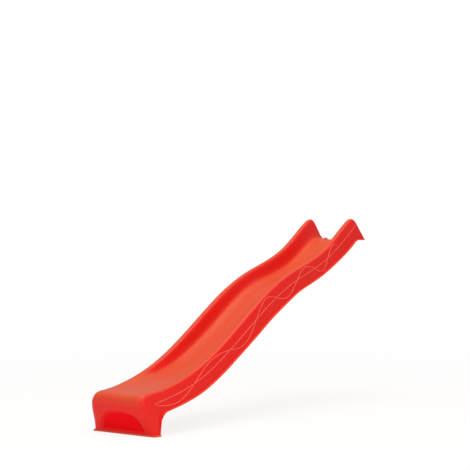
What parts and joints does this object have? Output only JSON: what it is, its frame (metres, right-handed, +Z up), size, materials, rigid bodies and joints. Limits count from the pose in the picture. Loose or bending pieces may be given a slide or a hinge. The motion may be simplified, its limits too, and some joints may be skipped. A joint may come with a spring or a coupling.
{
  "type": "wave slide",
  "caption": "Moulded play-tower slide with a double wave, rolled rims, outer skirts, flat top lip and box foot.",
  "frame": {"origin": "on the ground under the middle of the slide's footprint", "axes": "+X to the left of a rider going down, +Y to the tower, +Z up"},
  "size_m": [0.532, 2.685, 1.4124],
  "materials": {
    "red_hdpe": "satin, moulded",
    "zinc_steel": "zinc plated",
    "cap_plastic": "moulded"
  },
  "bodies": {
    "root": {"chute": "red_hdpe", "top_screws": "zinc_steel", "top_washers": "zinc_steel", "cap_bases": "cap_plastic", "cap_lids": "cap_plastic"}
  },
  "joints": []
}
